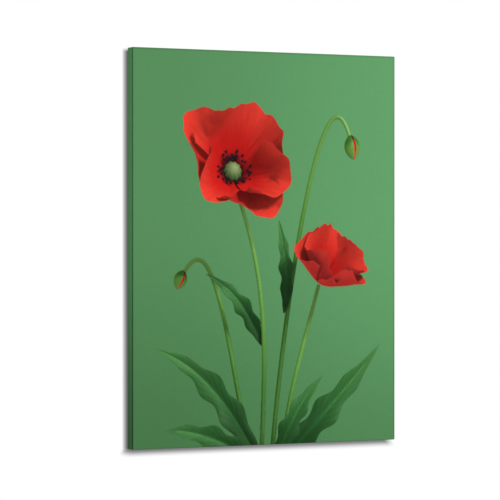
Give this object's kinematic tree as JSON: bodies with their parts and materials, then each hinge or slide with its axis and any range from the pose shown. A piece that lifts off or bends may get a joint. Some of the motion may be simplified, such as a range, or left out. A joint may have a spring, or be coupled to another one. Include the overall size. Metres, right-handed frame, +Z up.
{
  "type": "stretched canvas picture",
  "caption": "Printed canvas wrapped and stapled round a keyed pine stretcher frame, with wedge keys in slotted mitre corners and swinging ring hangers at the back.",
  "frame": {"origin": "middle of the bottom edge, halfway through the depth of the wrapped frame", "axes": "+X to the viewer's right, +Y from the picture's front to its back, +Z up"},
  "size_m": [0.451, 0.0233, 0.601],
  "materials": {
    "pine": "planed, bare",
    "key_wood": "sawn, bare",
    "printed_canvas": "matt print",
    "staple_wire": "galvanised",
    "plated_steel": "zinc plated",
    "screw_steel": "zinc plated"
  },
  "bodies": {
    "frame": {"left_bar": "pine", "right_bar": "pine", "top_bar": "pine", "bottom_bar": "pine", "canvas": "printed_canvas", "left_staples": "staple_wire", "right_staples": "staple_wire", "top_staples": "staple_wire", "bottom_staples": "staple_wire", "left_hanger_strap": "plated_steel", "left_hanger_screw": "screw_steel", "right_hanger_strap": "plated_steel", "right_hanger_screw": "screw_steel"},
    "bottom_left_level_key": {"bottom_left_level_key": "key_wood"},
    "bottom_left_upright_key": {"bottom_left_upright_key": "key_wood"},
    "bottom_right_level_key": {"bottom_right_level_key": "key_wood"},
    "bottom_right_upright_key": {"bottom_right_upright_key": "key_wood"},
    "top_left_level_key": {"top_left_level_key": "key_wood"},
    "top_left_upright_key": {"top_left_upright_key": "key_wood"},
    "top_right_level_key": {"top_right_level_key": "key_wood"},
    "top_right_upright_key": {"top_right_upright_key": "key_wood"},
    "left_ring": {"left_hanger_ring": "plated_steel"},
    "right_ring": {"right_hanger_ring": "plated_steel"}
  },
  "joints": [
    {"name": "bottom_left_level_key_slide", "type": "slide", "parent": "frame", "child": "bottom_left_level_key", "axis": [1, 0, 0], "range_m": [0, 0.02]},
    {"name": "bottom_left_upright_key_slide", "type": "slide", "parent": "frame", "child": "bottom_left_upright_key", "axis": [0, 0, 1], "range_m": [0, 0.02]},
    {"name": "bottom_right_level_key_slide", "type": "slide", "parent": "frame", "child": "bottom_right_level_key", "axis": [-1, 0, 0], "range_m": [0, 0.02]},
    {"name": "bottom_right_upright_key_slide", "type": "slide", "parent": "frame", "child": "bottom_right_upright_key", "axis": [0, 0, 1], "range_m": [0, 0.02]},
    {"name": "top_left_level_key_slide", "type": "slide", "parent": "frame", "child": "top_left_level_key", "axis": [1, 0, 0], "range_m": [0, 0.02]},
    {"name": "top_left_upright_key_slide", "type": "slide", "parent": "frame", "child": "top_left_upright_key", "axis": [0, 0, -1], "range_m": [0, 0.02]},
    {"name": "top_right_level_key_slide", "type": "slide", "parent": "frame", "child": "top_right_level_key", "axis": [-1, 0, 0], "range_m": [0, 0.02]},
    {"name": "top_right_upright_key_slide", "type": "slide", "parent": "frame", "child": "top_right_upright_key", "axis": [0, 0, -1], "range_m": [0, 0.02]},
    {"name": "left_ring_swing", "type": "hinge", "parent": "frame", "child": "left_ring", "pos_m": [-0.183, 0.0114, 0.4505], "axis": [0, 0, 1], "range_deg": [-80, 170]},
    {"name": "right_ring_swing", "type": "hinge", "parent": "frame", "child": "right_ring", "pos_m": [0.183, 0.0114, 0.4505], "axis": [0, 0, -1], "range_deg": [-80, 170]}
  ]
}
